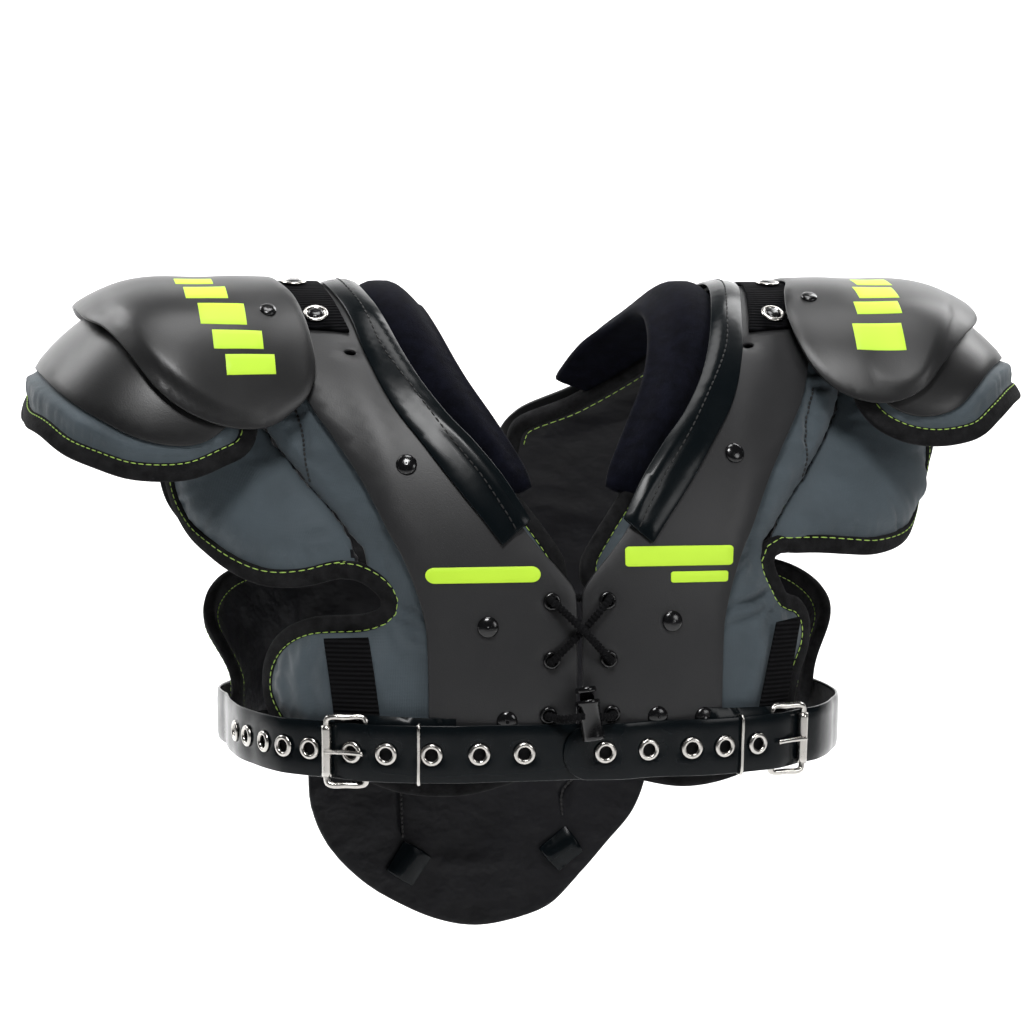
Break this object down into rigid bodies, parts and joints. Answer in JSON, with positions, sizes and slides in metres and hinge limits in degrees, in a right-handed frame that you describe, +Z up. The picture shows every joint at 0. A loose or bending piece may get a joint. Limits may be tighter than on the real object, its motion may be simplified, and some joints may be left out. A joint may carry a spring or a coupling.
{
  "type": "football shoulder pad",
  "caption": "Football shoulder pad worn over chest, shoulders and back: stiff plates and shoulder caps on padded cloth, laced chest, side belts with roller buckles and a low back flap.",
  "frame": {"origin": "midway between the two seats on the wearer's shoulders, at the height of the underside of the pads there", "axes": "+X to the viewer's right, which is the wearer's left; +Z up; the wearer faces -Y"},
  "size_m": [0.5258, 0.272, 0.3665],
  "materials": {
    "plate_plastic": "matte moulded",
    "cap_plastic": "matte moulded",
    "toggle_plastic": "satin moulded",
    "pad_cloth": "woven nylon over foam",
    "roll_knit": "knit over foam",
    "flap_satin": "satin over foam",
    "patent_vinyl": "glossy vinyl",
    "rivet_plastic": "glossy dome",
    "webbing": "ribbed webbing",
    "cord": "braided cord",
    "nickel": "nickel plated"
  },
  "bodies": {
    "pad": {"arch_plate_left": "plate_plastic", "body_pad_left": "pad_cloth", "deltoid_pad_left": "pad_cloth", "neck_strip_left": "patent_vinyl", "neck_roll_left": "roll_knit", "shoulder_webbing_left": "webbing", "webbing_washer_front_left": "nickel", "webbing_washer_top_left": "nickel", "webbing_washer_back_left": "nickel", "cap_pad_left": "pad_cloth", "lower_cap_left": "cap_plastic", "upper_cap_left": "cap_plastic", "side_webbing_left": "webbing", "belt_left": "patent_vinyl", "belt_eyelet_left_1": "nickel", "belt_eyelet_left_2": "nickel", "belt_eyelet_left_3": "nickel", "belt_eyelet_left_4": "nickel", "belt_eyelet_left_5": "nickel", "belt_eyelet_left_6": "nickel", "belt_eyelet_left_7": "nickel", "belt_eyelet_left_8": "nickel", "buckle_frame_left": "nickel", "buckle_prong_left": "nickel", "belt_keeper_left": "nickel", "arch_plate_right": "plate_plastic", "body_pad_right": "pad_cloth", "deltoid_pad_right": "pad_cloth", "neck_strip_right": "patent_vinyl", "neck_roll_right": "roll_knit", "shoulder_webbing_right": "webbing", "webbing_washer_front_right": "nickel", "webbing_washer_top_right": "nickel", "webbing_washer_back_right": "nickel", "cap_pad_right": "pad_cloth", "lower_cap_right": "cap_plastic", "upper_cap_right": "cap_plastic", "side_webbing_right": "webbing", "belt_right": "patent_vinyl", "belt_eyelet_right_1": "nickel", "belt_eyelet_right_2": "nickel", "belt_eyelet_right_3": "nickel", "belt_eyelet_right_4": "nickel", "belt_eyelet_right_5": "nickel", "buckle_frame_right": "nickel", "buckle_prong_right": "nickel", "belt_keeper_right": "nickel", "back_flap": "flap_satin", "flap_tab_left": "patent_vinyl", "flap_tab_right": "patent_vinyl", "back_strap_upper": "webbing", "back_strap_lower": "webbing", "plate_rivet_chest_left": "rivet_plastic", "plate_rivet_mid_left": "rivet_plastic", "plate_rivet_chest_right": "rivet_plastic", "plate_rivet_mid_right": "rivet_plastic", "chest_lace": "cord", "cord_lock_barrel": "toggle_plastic"},
    "cord_lock_plunger": {"cord_lock_plunger": "toggle_plastic"}
  },
  "joints": [
    {"name": "cord_lock_press", "type": "slide", "parent": "pad", "child": "cord_lock_plunger", "axis": [0.0003, -0.1694, -0.9855], "range_m": [0, 0.0026], "stiffness_N_per_m": 300}
  ]
}
